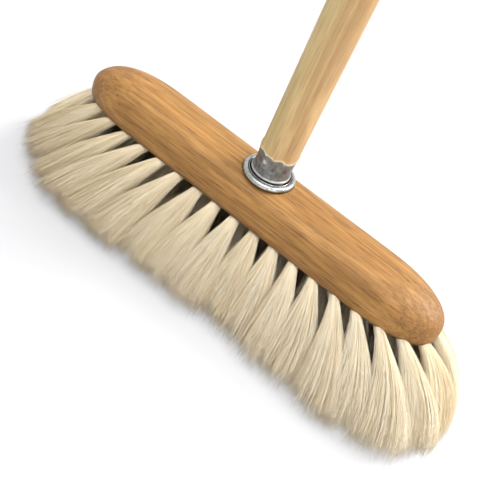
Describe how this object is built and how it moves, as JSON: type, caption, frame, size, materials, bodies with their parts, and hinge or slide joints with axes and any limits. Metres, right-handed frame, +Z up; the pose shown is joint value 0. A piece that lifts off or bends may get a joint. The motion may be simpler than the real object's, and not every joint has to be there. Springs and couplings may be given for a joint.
{
  "type": "goat hair broom",
  "caption": "Room broom: domed oval wooden head set with fanned tufts of soft pale hair, with a round wooden stick whose metal ferrule screws into a pressed steel socket.",
  "frame": {"origin": "on the floor, under the middle of the head, at the height of the hair tips that the broom stands on", "axes": "+Z up along the stick, +X along the head, +Y to the back of the head, as a person holding it sees it from the front"},
  "size_m": [0.3682, 0.1018, 1.4726],
  "materials": {
    "block_wood": "oiled, satin",
    "stick_wood": "plain, lightly waxed",
    "goat_hair": "soft natural hair",
    "bright_steel": "rolled and bright",
    "galvanised_steel": "galvanised, dull and scuffed"
  },
  "bodies": {
    "head": {"block": "block_wood", "threaded_socket": "bright_steel", "outer_tuft_01": "goat_hair", "outer_tuft_02": "goat_hair", "outer_tuft_03": "goat_hair", "outer_tuft_04": "goat_hair", "outer_tuft_05": "goat_hair", "outer_tuft_06": "goat_hair", "outer_tuft_07": "goat_hair", "outer_tuft_08": "goat_hair", "outer_tuft_09": "goat_hair", "outer_tuft_10": "goat_hair", "outer_tuft_11": "goat_hair", "outer_tuft_12": "goat_hair", "outer_tuft_13": "goat_hair", "outer_tuft_14": "goat_hair", "outer_tuft_15": "goat_hair", "outer_tuft_16": "goat_hair", "outer_tuft_17": "goat_hair", "outer_tuft_18": "goat_hair", "outer_tuft_19": "goat_hair", "outer_tuft_20": "goat_hair", "outer_tuft_21": "goat_hair", "outer_tuft_22": "goat_hair", "outer_tuft_23": "goat_hair", "outer_tuft_24": "goat_hair", "outer_tuft_25": "goat_hair", "outer_tuft_26": "goat_hair", "outer_tuft_27": "goat_hair", "outer_tuft_28": "goat_hair", "outer_tuft_29": "goat_hair", "outer_tuft_30": "goat_hair", "outer_tuft_31": "goat_hair", "outer_tuft_32": "goat_hair", "outer_tuft_33": "goat_hair", "outer_tuft_34": "goat_hair", "outer_tuft_35": "goat_hair", "outer_tuft_36": "goat_hair", "outer_tuft_37": "goat_hair", "outer_tuft_38": "goat_hair", "inner_tuft_01": "goat_hair", "inner_tuft_02": "goat_hair", "inner_tuft_03": "goat_hair", "inner_tuft_04": "goat_hair", "inner_tuft_05": "goat_hair", "inner_tuft_06": "goat_hair", "inner_tuft_07": "goat_hair", "inner_tuft_08": "goat_hair", "inner_tuft_09": "goat_hair", "inner_tuft_10": "goat_hair", "inner_tuft_11": "goat_hair", "inner_tuft_12": "goat_hair", "inner_tuft_13": "goat_hair", "inner_tuft_14": "goat_hair", "inner_tuft_15": "goat_hair", "inner_tuft_16": "goat_hair", "inner_tuft_17": "goat_hair"},
    "stick": {"handle_stick": "stick_wood"},
    "ferrule": {"ferrule": "galvanised_steel"}
  },
  "joints": [
    {"name": "handle_travel", "type": "slide", "parent": "head", "child": "stick", "axis": [0, 0, 1], "range_m": [0, 0.012]},
    {"name": "thread_turn", "type": "hinge", "parent": "stick", "child": "ferrule", "pos_m": [0, 0, 0.084], "axis": [0, 0, 1], "range_deg": [0, 1100]}
  ],
  "couplings": [
    {"joint": "thread_turn", "follows": "handle_travel", "rad_per_m": 1570.8}
  ]
}
